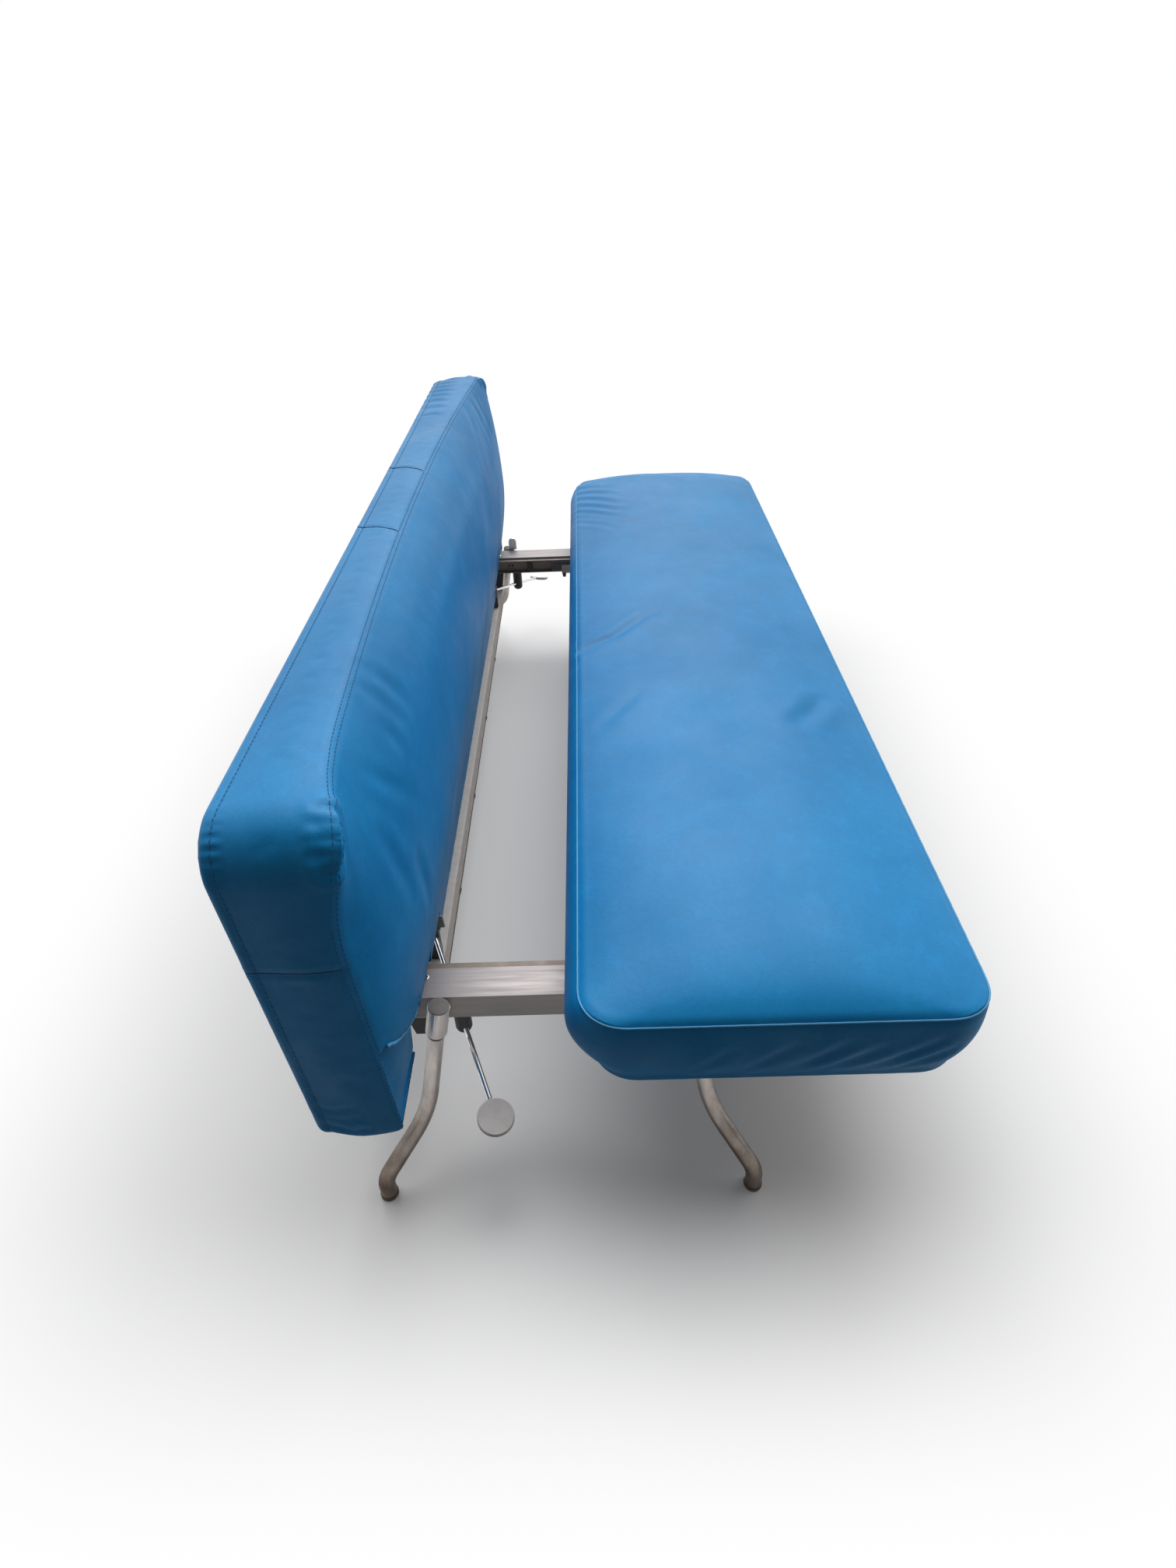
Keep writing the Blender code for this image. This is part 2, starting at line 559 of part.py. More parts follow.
# Stretcher between the hangers, below the swing of the back.
reach = BEAM_IN + 0.004 - FIT
add("stretcher", box_mesh((-reach, STRETCH_Y0, STRETCH_TOP - STRETCH_H),
                          (reach, STRETCH_Y1, STRETCH_TOP), 0.002),
    "rail_beige", FRAME)
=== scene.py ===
"""Looks of a convertible couch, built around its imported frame.

Metres, +X along the couch, +Y to the rear, +Z up.
"""
import json
import math

import bpy
import numpy as np
from mathutils import Matrix, Vector
from mathutils.bvhtree import BVHTree

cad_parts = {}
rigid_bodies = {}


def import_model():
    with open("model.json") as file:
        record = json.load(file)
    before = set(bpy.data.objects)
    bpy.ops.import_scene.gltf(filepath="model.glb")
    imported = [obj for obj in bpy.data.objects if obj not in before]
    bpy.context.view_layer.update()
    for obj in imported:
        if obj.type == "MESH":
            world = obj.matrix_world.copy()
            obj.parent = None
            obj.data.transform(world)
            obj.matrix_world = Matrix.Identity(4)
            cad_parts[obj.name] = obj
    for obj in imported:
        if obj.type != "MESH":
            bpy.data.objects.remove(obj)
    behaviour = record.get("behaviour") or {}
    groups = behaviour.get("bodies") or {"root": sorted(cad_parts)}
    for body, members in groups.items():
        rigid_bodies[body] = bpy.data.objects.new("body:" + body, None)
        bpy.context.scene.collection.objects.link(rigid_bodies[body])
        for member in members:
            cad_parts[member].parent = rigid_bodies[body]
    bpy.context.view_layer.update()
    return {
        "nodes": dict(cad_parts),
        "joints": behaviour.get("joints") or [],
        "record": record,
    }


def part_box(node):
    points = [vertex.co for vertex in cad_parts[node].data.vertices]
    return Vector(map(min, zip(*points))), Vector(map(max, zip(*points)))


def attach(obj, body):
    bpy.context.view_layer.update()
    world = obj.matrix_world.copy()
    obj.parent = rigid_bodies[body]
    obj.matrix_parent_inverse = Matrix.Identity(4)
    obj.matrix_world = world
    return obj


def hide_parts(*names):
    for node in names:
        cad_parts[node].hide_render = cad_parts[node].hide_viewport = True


for old in list(bpy.data.objects):
    bpy.data.objects.remove(old, do_unlink=True)
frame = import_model()
NODES = frame["nodes"]
JOINTS = {j["name"]: j for j in frame["joints"]}
SCENE = bpy.context.scene
ENDS = (-1, 1)

# Sizes shared with the solids
LENGTH = 2.000          # cushion length, seam to seam
SEAT_DEPTH = 0.516      # seat cushion, front seam to rear seam
BACK_HEIGHT = 0.525     # back cushion, lower seam to upper seam
BOXING = 0.118          # side band of both cushions
CORNER_R = 0.062        # plan radius of the cushion corners
HEEL_R = 0.016          # plan radius of the back's lower corners
PIVOT_UP = 0.190        # hinge axis above the back's lower seam
BACK_REAR = 0.097       # rear face of the back's board, behind the hinge axis
PAD_REAR = 0.0827       # rear face of the back's padding, behind the hinge axis
LEAN = math.radians(2.8)
SEAT_TO_PIVOT = 0.270   # hinge axis behind the seat's rear seam
FRAME_MID = 0.025       # middle of the beams behind the seat's rear seam
LEG_OFF = 0.180         # leg top from the middle of the beams
LEG_RAKE = math.radians(10.9)
COLLAR_LEN = 0.056      # leg socket
CHANNEL_WEB = 0.002     # wall of a slide channel
FIT = 0.0003

# Places taken from the frame
PIVOT = Vector(JOINTS["back_fold"]["pos_m"])
SEAT_REAR_Y = PIVOT.y - SEAT_TO_PIVOT
SEAT_FOOT_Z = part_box("seat_cushion")[0].z
BEAM_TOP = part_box("beam_left")[1].z
RAIL_LOW, RAIL_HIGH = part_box("stretcher")
WEB_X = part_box("slide_channel_right")[1].x - CHANNEL_WEB

# Camera, worked out from the photograph's straight edges
FOCAL_PX, PITCH, YAW, ROLL = 1125.01, 0.6499, 0.0118, 0.038
FRAME_PX = 2016
SENSOR_WIDE, SENSOR_TALL = 27.0, 36.0
EYE = Vector((-1.6601, -0.0324 + SEAT_REAR_Y, 1.2952))


def add_camera():
    ahead = Vector((math.cos(PITCH) * math.cos(YAW), math.cos(PITCH) * math.sin(YAW),
                    -math.sin(PITCH)))
    right = ahead.cross(Vector((0, 0, 1))).normalized()
    down = ahead.cross(right)
    rolled_right = right * math.cos(ROLL) + down * math.sin(ROLL)
    rolled_down = -right * math.sin(ROLL) + down * math.cos(ROLL)
    data = bpy.data.cameras.new("camera")
    data.sensor_fit = "VERTICAL"
    data.sensor_width, data.sensor_height = SENSOR_WIDE, SENSOR_TALL
    data.lens = FOCAL_PX * SENSOR_TALL / FRAME_PX
    data.clip_start, data.clip_end = 0.05, 100
    camera = bpy.data.objects.new("camera", data)
    SCENE.collection.objects.link(camera)
    turn = Matrix((rolled_right, -rolled_down, -ahead)).transposed()
    camera.matrix_world = Matrix.Translation(EYE) @ turn.to_4x4()
    SCENE.camera = camera


add_camera()


# Materials

class Shader:
    """A Principled material with a few helpers for its nodes."""

    def __init__(self, name, colour, rough, metal=0.0, specular=0.5):
        self.mat = bpy.data.materials.new(name)
        self.mat.use_nodes = True
        self.tree = self.mat.node_tree
        self.main = self.tree.nodes["Principled BSDF"]
        self.main.inputs["Base Color"].default_value = (*colour, 1)
        self.main.inputs["Roughness"].default_value = rough
        self.main.inputs["Metallic"].default_value = metal
        self.main.inputs["Specular IOR Level"].default_value = specular
        spot = self.tree.nodes.new("ShaderNodeTexCoord")
        self.place, self.facing = spot.outputs["Object"], spot.outputs["Normal"]
        self.normal = None

    def wire(self, source, target):
        self.tree.links.new(source, target)

    def stretch(self, scale):
        node = self.tree.nodes.new("ShaderNodeMapping")
        node.inputs["Scale"].default_value = scale
        self.wire(self.place, node.inputs["Vector"])
        return node.outputs["Vector"]

    def grain(self, scale, detail=3.0, stretch=None, rough=0.55):
        node = self.tree.nodes.new("ShaderNodeTexNoise")
        node.inputs["Scale"].default_value = scale
        node.inputs["Detail"].default_value = detail
        node.inputs["Roughness"].default_value = rough
        self.wire(self.stretch(stretch) if stretch else self.place, node.inputs["Vector"])
        return node.outputs["Fac"]

    def cells(self, scale):
        node = self.tree.nodes.new("ShaderNodeTexVoronoi")
        node.feature = "SMOOTH_F1"
        node.inputs["Scale"].default_value = scale
        self.wire(self.place, node.inputs["Vector"])
        return node.outputs["Distance"]

    def remap(self, source, low, high, to_low=0.0, to_high=1.0):
        node = self.tree.nodes.new("ShaderNodeMapRange")
        for key, value in (("From Min", low), ("From Max", high),
                           ("To Min", to_low), ("To Max", to_high)):
            node.inputs[key].default_value = value
        self.wire(source, node.inputs["Value"])
        return node.outputs["Result"]

    def upward(self, vector):
        node = self.tree.nodes.new("ShaderNodeSeparateXYZ")
        self.wire(vector, node.inputs["Vector"])
        return node.outputs["Z"]

    def combine(self, operation, a, b):
        node = self.tree.nodes.new("ShaderNodeMath")
        node.operation = operation
        self.wire(a, node.inputs[0])
        self.wire(b, node.inputs[1])
        return node.outputs["Value"]

    def rubbed(self, grain, dull, shiny, stray=0.07):
        """Smoother where the cover looks up and is rubbed, rougher down the sides."""
        level = self.remap(self.upward(self.facing), 0.2, 0.85, dull, shiny)
        uneven = self.remap(grain, 0.3, 0.7, -stray, stray)
        self.wire(self.combine("ADD", level, uneven), self.main.inputs["Roughness"])

    def tint(self, fac, other, base=None):
        node = self.tree.nodes.new("ShaderNodeMix")
        node.data_type = "RGBA"
        self.wire(fac, node.inputs["Factor"])
        if base is None:
            node.inputs["A"].default_value = self.main.inputs["Base Color"].default_value
        else:
            self.wire(base, node.inputs["A"])
        node.inputs["B"].default_value = (*other, 1)
        out = node.outputs["Result"]
        self.wire(out, self.main.inputs["Base Color"])
        return out

    def polish(self, fac, low, high, to_low, to_high):
        self.wire(self.remap(fac, low, high, to_low, to_high), self.main.inputs["Roughness"])

    def bump(self, fac, distance, strength):
        node = self.tree.nodes.new("ShaderNodeBump")
        node.inputs["Strength"].default_value = strength
        node.inputs["Distance"].default_value = distance
        self.wire(fac, node.inputs["Height"])
        if self.normal:
            self.wire(self.normal, node.inputs["Normal"])
        self.normal = node.outputs["Normal"]
        self.wire(self.normal, self.main.inputs["Normal"])


def leatherette(name, colour, lift):
    """Coated cloth with broad worn patches, pale flecks, fine dark specks and a pebbled face."""
    s = Shader(name, colour, 0.45, specular=0.21)
    worn = s.tint(s.remap(s.grain(2.6, 6, rough=0.65), 0.35, 0.68), lift)
    flecks = s.tint(s.remap(s.grain(30, 8, rough=0.7), 0.50, 0.72, 0.0, 0.20),
                    [c * 1.42 for c in lift], worn)
    s.tint(s.remap(s.grain(170, 4, rough=0.7), 0.45, 0.70, 0.0, 0.22),
           [c * 0.72 for c in colour], flecks)
    s.rubbed(s.grain(9, 5), dull=0.56, shiny=0.40)
    s.bump(s.cells(620), 0.00022, 0.5)
    s.bump(s.grain(90, 5), 0.0005, 0.4)
    return s.mat


def brushed(name, colour, rough, lines, darker_below=None, metal=0.9):
    """Metal with fine streaks along it; given a low and high level and a tone, it turns a little
    unevenly towards that tone below them.
    """
    s = Shader(name, colour, rough, metal)
    streak = s.grain(150, 5, lines)
    base = s.tint(s.remap(streak, 0.3, 0.75, 0.0, 0.4), [c * 0.76 for c in colour])
    if darker_below:
        # towards the bottom the colour turns darker, slightly unevenly
        low, high, tone = darker_below
        level = s.remap(s.upward(s.place), low, high, 1, 0)
        s.tint(s.combine("MULTIPLY", level, s.remap(s.grain(26, 6), 0.35, 0.65, 0.80, 1.0)),
               tone, base)
    s.polish(streak, 0.3, 0.7, rough - 0.07, rough + 0.12)
    s.bump(streak, 0.0002, 0.35)
    return s.mat


def moulded(name, colour, rough, spots, metal=0.0):
    """Plain sheet, plastic or paint with faint spots."""
    s = Shader(name, colour, rough, metal)
    s.tint(s.remap(s.grain(55, 5), 0.42, 0.75, 0.0, 0.55), spots)
    s.polish(s.grain(30, 4), 0.3, 0.7, max(rough - 0.08, 0.04), rough + 0.1)
    s.bump(s.grain(420, 2), 0.00018, 0.5)
    return s.mat


BLUE, BLUE_LIFT = (0.003, 0.205, 0.495), (0.008, 0.268, 0.615)
# the legs turn darker and browner towards the floor, below these heights
LEG_DARKER_BELOW = (0.05, 0.250, (0.110, 0.079, 0.058))
MATS = {
    "leatherette": leatherette("leatherette_blue", BLUE, BLUE_LIFT),
    "piping": leatherette("leatherette_welt", (0.085, 0.37, 0.66), (0.12, 0.41, 0.70)),
    "back_lining": moulded("lining_cloth", (0.035, 0.045, 0.06), 0.85, (0.06, 0.07, 0.085)),
    "ply": moulded("board_wood", (0.42, 0.30, 0.18), 0.65, (0.30, 0.20, 0.11)),
    "rail_beige": moulded("rail_beige", (0.90, 0.83, 0.77), 0.70, (0.72, 0.63, 0.55)),
    "satin_metal": brushed("beam_satin", (0.38, 0.345, 0.335), 0.46, (1, 0.05, 1), metal=0.5),
    "tube_metal": brushed("tube_satin", (0.74, 0.695, 0.665), 0.42, (1, 1, 0.15), LEG_DARKER_BELOW),
    "bright_steel": brushed("rod_chrome", (0.80, 0.80, 0.80), 0.13, (1, 0.1, 1), metal=1.0),
    "dark_steel": moulded("channel_dark", (0.23, 0.185, 0.155), 0.50, (0.30, 0.25, 0.21), 0.4),
    "black_plastic": moulded("plastic_black", (0.018, 0.018, 0.02), 0.45, (0.045, 0.042, 0.04)),
    "pale_plastic": moulded("plastic_pale", (0.95, 0.89, 0.85), 0.60, (0.80, 0.73, 0.68)),
    "nylon": moulded("nylon_dark", (0.21, 0.18, 0.15), 0.50, (0.13, 0.11, 0.095)),
    # this dull colour also paints the ring at each socket's foot, grime and painted contact shade
    "cap": moulded("collar_cap", (0.20, 0.18, 0.17), 0.65, (0.12, 0.105, 0.10), 0.2),
    "glide": moulded("glide_brown", (0.17, 0.13, 0.10), 0.65, (0.10, 0.08, 0.06)),
    "edging": moulded("edging_dark", (0.10, 0.075, 0.06), 0.7, (0.05, 0.04, 0.035)),
    "thread": moulded("thread_blue", (0.004, 0.075, 0.19), 0.7, (0.01, 0.10, 0.23)),
    "tab": brushed("tab_steel", (0.90, 0.88, 0.86), 0.30, (1, 1, 1)),
}
for entry in frame["record"]["subparts"]:
    look = "glide" if entry["node"].startswith("foot_glide") else entry["material_slot"]
    for holder in NODES[entry["node"]].material_slots:
        holder.material = MATS[look]


# Meshes

SHARP = math.radians(48)
OFF_AXIS = (0.31, 0.17, 0.93)   # no tube starts along this


def piece(name, verts, faces, material, body, matrix=None):
    mesh = bpy.data.meshes.new(name)
    mesh.from_pydata([tuple(v) for v in verts], [], [tuple(f) for f in faces])
    if matrix is not None:
        mesh.transform(matrix)
    mesh.shade_smooth()
    mesh.set_sharp_from_angle(angle=SHARP)
    mesh.materials.append(MATS[material])
    obj = bpy.data.objects.new(name, mesh)
    SCENE.collection.objects.link(obj)
    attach(obj, body)
    return obj


def tube_data(points, radius, closed=False, sides=8):
    """Points and faces of a tube along a line; radius is one value or one for each point."""
    pts = np.asarray(points, float)
    count = len(pts)
    ahead = np.roll(pts, -1, 0) - np.roll(pts, 1, 0)
    if not closed:
        ahead[0], ahead[-1] = pts[1] - pts[0], pts[-1] - pts[-2]
    ahead /= np.linalg.norm(ahead, axis=1)[:, None]
    side = np.cross(ahead[0], OFF_AXIS)
    verts, faces = [], []
    turns = np.arange(sides) * 2 * math.pi / sides
    for i in range(count):
        side = side - ahead[i] * side.dot(ahead[i])
        side /= np.linalg.norm(side)
        up = np.cross(ahead[i], side)
        r = radius[i] if np.ndim(radius) else radius
        verts.extend(pts[i] + r * (math.cos(a) * side + math.sin(a) * up) for a in turns)
    for i in range(count if closed else count - 1):
        a, b = i * sides, (i + 1) % count * sides
        for k in range(sides):
            m = (k + 1) % sides
            faces.append((a + k, a + m, b + m, b + k))
    if not closed:
        faces.append(tuple(reversed(range(sides))))
        faces.append(tuple(range((count - 1) * sides, count * sides)))
    return verts, faces


def prism_data(outline, low, high):
    """Points and faces of a prism along X; its outline in Y and Z runs clockwise from +X."""
    n = len(outline)
    verts = [(x, y, z) for x in (low, high) for y, z in outline]
    faces = [tuple(range(n)), tuple(reversed(range(n, 2 * n)))]
    faces += [((k + 1) % n, k, n + k, n + (k + 1) % n) for k in range(n)]
    return verts, faces


def resample(points, step, closed=False):
    """Points at an even step along a line."""
    pts = np.asarray(points, float)
    if closed:
        pts = np.vstack([pts, pts[:1]])
    run = np.concatenate([[0], np.cumsum(np.linalg.norm(np.diff(pts, axis=0), axis=1))])
    count = max(2, int(round(run[-1] / step)) + 1)
    at = np.linspace(0, run[-1], count)
    out = np.stack([np.interp(at, run, pts[:, k]) for k in range(3)], 1)
    return out[:-1] if closed else out


def ramp(value, start, span):
    """0 up to start, then rising to 1 over the span."""
    return min(max((value - start) / span, 0), 1)


# Cushions

GRID = 0.010                    # mesh size of a cover before it is refined
CORNER_CELLS, CORNER_CROWD = 8, 1.6
BAND_ROWS, SOFT_ROWS = 14, 9    # rows down the band, and those that the cloth solver moves
SEAM_DIP, SEAM_LIFT = 0.022, 0.080      # how far in the panel follows a lowered or raised seam
BULGE_END, BULGE_SHAPE, TUCK_SHAPE, PUSH_SHAPE = 0.92, 0.8, 2.4, 6
LIP = ((0.0002, -0.004), (0.0012, -0.009), (0.0035, -0.0125), (0.0060, -0.0132),
       (0.0072, -0.006))        # inset and drop of each row where the cover turns under
CLOTH = {"quality": 4, "mass": 0.25, "tension_stiffness": 18, "compression_stiffness": 18,
         "shear_stiffness": 6, "bending_stiffness": 0.6, "use_pressure": True,
         "uniform_pressure_force": 4.0, "vertex_group_mass": "held"}
CLOTH_FRAMES = 20
LEAST_MOVE = 1e-9
CREASE_STEP, CREASE_REACH = 0.006, 5    # sampling of a crease, and its reach in widths
RIDGE_OFF, SEAM_RIDGE = 1.9, 0.3
ON_COVER = 0.022                # a laid line lies on the cover where it is nearer than this


def stations(half):
    """Grid lines across a cushion, crowded towards its seams."""
    inner = half - CORNER_R
    count = max(2, round(2 * inner / GRID))
    edge = [-half + CORNER_R * (k / CORNER_CELLS) ** CORNER_CROWD for k in range(CORNER_CELLS)]
    middle = [-inner + 2 * inner * k / count for k in range(count + 1)]
    return edge + middle + [-e for e in reversed(edge)]


class Cushion:
    """Boxed cushion in its own space: u along, v across, w out of the base board."""

    def __init__(self, half_v, place, swell, seam, sides, base, heel):
        self.half_u, self.half_v, self.place = LENGTH / 2, half_v, place
        self.seam, self.base, self.heel = seam, base, heel
        self.us, self.vs = stations(self.half_u), stations(half_v)
        nu, nv = len(self.us), len(self.vs)
        rim = ([i * nv for i in range(nu)] + [(nu - 1) * nv + j for j in range(1, nv)]
               + [i * nv + nv - 1 for i in range(nu - 2, -1, -1)]
               + [j for j in range(nv - 2, 0, -1)])
        self.rim_uv = [(self.us[i // nv], self.vs[i % nv]) for i in rim]
        self.verts, self.faces = [], []
        self.add_panel(swell)
        foot = self.add_band(rim, *sides)
        self.add_underside(dict(zip(rim, foot)), sides[1] + LIP[-1][0])
        self.co = np.array(self.verts, float)
        self.free = np.zeros(len(self.verts))
        self.free[:nu * nv + SOFT_ROWS * len(rim)] = 1.0
        self.free[rim] = 0.0

    def at(self, u, v, inset=0.0):
        """Carry a grid point into the rounded rectangle, drawn in by inset."""
        half_u, half_v = self.half_u, self.half_v
        radius = self.heel if v < 0 else CORNER_R
        a = (abs(u) - half_u + radius) / radius
        b = (abs(v) - half_v + radius) / radius
        if a > 0 and b > 0:
            most, far = max(a, b), math.hypot(a, b)
            u = math.copysign(half_u - radius + radius * a * most / far, u)
            v = math.copysign(half_v - radius + radius * b * most / far, v)
        return u * (half_u - inset) / half_u, v * (half_v - inset) / half_v

    def grid(self):
        """Corners of every cell of the panel, as numbers of its points."""
        nv = len(self.vs)
        for i in range(len(self.us) - 1):
            for j in range(nv - 1):
                a = i * nv + j
                yield a, a + nv, a + nv + 1, a + 1

    def add_panel(self, swell):
        """The sewn panel, swelling up from its seam."""
        for u in self.us:
            for v in self.vs:
                p, q = self.at(u, v)
                inside = min(self.half_u - abs(u), self.half_v - abs(v))
                shift = self.seam(p, q) - BOXING
                shift *= math.exp(-inside / (SEAM_DIP if shift < 0 else SEAM_LIFT))
                rise = swell(p / self.half_u, q / self.half_v)
                self.verts.append((p, q, BOXING + rise + shift))
        self.faces.extend(self.grid())

    def add_band(self, rim, bulge, tuck, rear):
        """The band, row by row from the rim down to the turned lip; gives its last row."""
        profile = []
        for k in range(1, BAND_ROWS + 1):
            t = k / BAND_ROWS
            out = math.sin(math.pi * min(t / BULGE_END, 1)) ** BULGE_SHAPE
            profile.append((tuck * t ** TUCK_SHAPE - bulge * out, 1 - t, 0.0, rear * out))
        profile += [(tuck + inset, 0, drop, 0.0) for inset, drop in LIP]
        last = rim
        for inset, share, drop, push in profile:
            ring = []
            for u, v in self.rim_uv:
                p, q = self.at(u, v, inset)
                ring.append(len(self.verts))
                self.verts.append((p, q + push * max(0.0, q / self.half_v) ** PUSH_SHAPE,
                                   self.base + (self.seam(p, q) - self.base) * share + drop))
            for k in range(len(rim)):
                m = (k + 1) % len(rim)
                self.faces.append((last[m], last[k], ring[k], ring[m]))
            last = ring
        return last

    def add_underside(self, under, inset):
        """The flat that closes the cover; under starts with the band's last row."""
        nv = len(self.vs)
        for index in range(len(self.us) * nv):
            if index not in under:
                p, q = self.at(self.us[index // nv], self.vs[index % nv], inset)
                under[index] = len(self.verts)
                self.verts.append((p, q, self.base))
        self.faces.extend((under[a], under[d], under[c], under[b]) for a, b, c, d in self.grid())

    def scratch(self, name):
        """An object with the cover's points and faces, to be worked on and removed."""
        mesh = bpy.data.meshes.new(name)
        mesh.from_pydata([tuple(c) for c in self.co], [], self.faces)
        obj = bpy.data.objects.new(name, mesh)
        SCENE.collection.objects.link(obj)
        return obj

    def take(self, obj):
        """Take the cover from an object as its modifiers leave it."""
        self.mesh = bpy.data.meshes.new_from_object(
            obj.evaluated_get(bpy.context.evaluated_depsgraph_get()))
        co = np.empty(len(self.mesh.vertices) * 3)
        self.mesh.vertices.foreach_get("co", co)
        self.co = co.reshape(-1, 3)

    def inflate(self, slack, cap):
        """Blow the cover up with a cloth solver, its seams held, each move capped."""
        obj = self.scratch("sim")
        held = obj.vertex_groups.new(name=CLOTH["vertex_group_mass"])
        for i in np.nonzero(self.free == 0)[0]:
            held.add([int(i)], 1.0, "REPLACE")
        cloth = obj.modifiers.new("cloth", "CLOTH")
        for key, value in CLOTH.items():
            setattr(cloth.settings, key, value)
        cloth.settings.shrink_min = -slack
        cloth.settings.effector_weights.gravity = 0
        cloth.collision_settings.use_collision = False
        cloth.point_cache.frame_start, cloth.point_cache.frame_end = 1, CLOTH_FRAMES
        for number in range(1, CLOTH_FRAMES + 1):
            SCENE.frame_set(number)
        shape = obj.evaluated_get(bpy.context.evaluated_depsgraph_get()).data
        out = np.empty(len(self.co) * 3)
        shape.vertices.foreach_get("co", out)
        SCENE.frame_set(1)
        move = out.reshape(-1, 3) - self.co
        size = np.maximum(np.linalg.norm(move, axis=1), LEAST_MOVE)
        self.co = self.co + move * (cap * np.tanh(size / cap) / size)[:, None]
        bpy.data.objects.remove(obj, do_unlink=True)

    def refine(self):
        obj = self.scratch("fine")
        obj.modifiers.new("smooth", "SUBSURF").levels = 1
        self.take(obj)
        bpy.data.objects.remove(obj, do_unlink=True)

    def normals(self):
        """Bring the mesh up to date with the points, and give its normals."""
        self.mesh.vertices.foreach_set("co", self.co.ravel())
        self.mesh.update()
        out = np.empty(len(self.co) * 3)
        self.mesh.vertex_normals.foreach_get("vector", out)
        return out.reshape(-1, 3)

    def crease(self, lines, depth, width, ridge=0.5, fade=True):
        """Press lines into the cover, with a soft ridge on either side."""
        normal = self.normals()
        push = np.zeros(len(self.co))
        for line in lines:
            pts = resample(line, CREASE_STEP)
            margin = CREASE_REACH * width
            low, high = pts.min(0) - margin, pts.max(0) + margin
            near = np.nonzero(((self.co > low) & (self.co < high)).all(1))[0]
            if not len(near):
                continue
            gap = np.linalg.norm(self.co[near, None, :] - pts[None], axis=2)
            t = gap.argmin(1) / (len(pts) - 1)
            d = gap.min(1) / width
            hold = np.sin(math.pi * np.clip(0.12 + 0.88 * t, 0, 1)) ** 0.6 if fade else 1.0
            shape = -np.exp(-d ** 2) + ridge * np.exp(-(d - RIDGE_OFF) ** 2)
            push[near] += hold * depth * shape
        self.co = self.co + normal * push[:, None]

    def sew(self, lines, depth, width):
        """Press seams in, as deep at their ends as between them."""
        self.crease(lines, depth, width, SEAM_RIDGE, fade=False)

    def carve(self, cuts):
        """Cut prisms, each an outline in (v, w) and a span in u, out of the cover."""
        self.normals()
        obj = bpy.data.objects.new("carved", self.mesh)
        SCENE.collection.objects.link(obj)
        tools = []
        for outline, low, high in cuts:
            verts, faces = prism_data(outline, low, high)
            mesh = bpy.data.meshes.new("tool")
            mesh.from_pydata(verts, [], faces)
            tool = bpy.data.objects.new("tool", mesh)
            SCENE.collection.objects.link(tool)
            cut = obj.modifiers.new("cut", "BOOLEAN")
            cut.operation, cut.solver, cut.object = "DIFFERENCE", "MANIFOLD", tool
            tools.append(tool)
        self.take(obj)
        for gone in tools + [obj]:
            bpy.data.objects.remove(gone, do_unlink=True)

    def finish(self):
        """Ready the cover for lines to be laid on it."""
        self.normals()
        self.tree = BVHTree.FromPolygons(
            [Vector(c) for c in self.co], [tuple(p.vertices) for p in self.mesh.polygons])

    def lay(self, points, step, lift, closed=False):
        """A line laid on the cover and lifted off it, and which of its points were near it."""
        out, near = [], []
        for p in resample(points, step, closed):
            at, normal, _, gap = self.tree.find_nearest(Vector(p))
            out.append(at + normal * lift)
            near.append(gap < ON_COVER)
        return np.array(out), np.array(near)

    def loop(self, inset, lift=0.0):
        """A line round the cushion beside its seam."""
        line = []
        for u, v in self.rim_uv:
            p, q = self.at(u, v, inset)
            line.append((p, q, self.seam(p, q) + lift))
        return line


def closed_line(line):
    return line + line[:1]


def make_cushion(half_v, place, swell, seam, sides, base, heel, slack, cap):
    """A cover; sides are the band's bulge, the tuck at its foot and its push to the rear."""
    c = Cushion(half_v, place, swell, seam, sides, base, heel)
    c.inflate(slack, cap)
    c.refine()
    return c


def show(c, name, node, body):
    obj = piece(name, c.co, [tuple(p.vertices) for p in c.mesh.polygons], "leatherette",
                body, c.place)
    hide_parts(node)


WELT_STEP = 0.005
THREAD_STEP, THREAD_LIFT, THREAD_SIDES = 0.001, 0.0002, 5
STITCH, STITCH_PITCH = 0.0055, 0.008
STITCH_RADII = [0.0007 * share for share in (0.3, 0.8, 1.0, 0.8, 0.3)]
LEAST_HOP = 1e-5


def welt(c, name, line, radius, body, material="piping", lift=0.0006, closed=False):
    pts, _ = c.lay(line, WELT_STEP, lift, closed)
    verts, faces = tube_data(pts, radius, closed)
    piece(name, verts, faces, material, body, c.place)


def stitches(c, name, line, body):
    """A row of stitches round the cover, left out where the cover is cut away."""
    pts, near = c.lay(line, THREAD_STEP, THREAD_LIFT, closed=True)
    run = int(round(STITCH_PITCH / THREAD_STEP))
    keep = int(round(STITCH / THREAD_STEP))
    verts, faces = [], []
    for a in range(0, len(pts) - keep, run):
        part = pts[a:a + keep + 1]
        few = part[[0, 1, keep // 2, keep - 1, keep]]
        hops = [np.linalg.norm(few[k:] - few[:-k], axis=1).min() for k in (1, 2)]
        short = np.ptp(part, 0).max() < 0.5 * STITCH or min(hops) < LEAST_HOP
        if short or not near[a:a + keep + 1].all():
            continue
        v, f = tube_data(few, STITCH_RADII, sides=THREAD_SIDES)
        base = len(verts)
        verts.extend(v)
        faces.extend(tuple(i + base for i in face) for face in f)
    piece(name, verts, faces, "thread", body, c.place)


# Seat

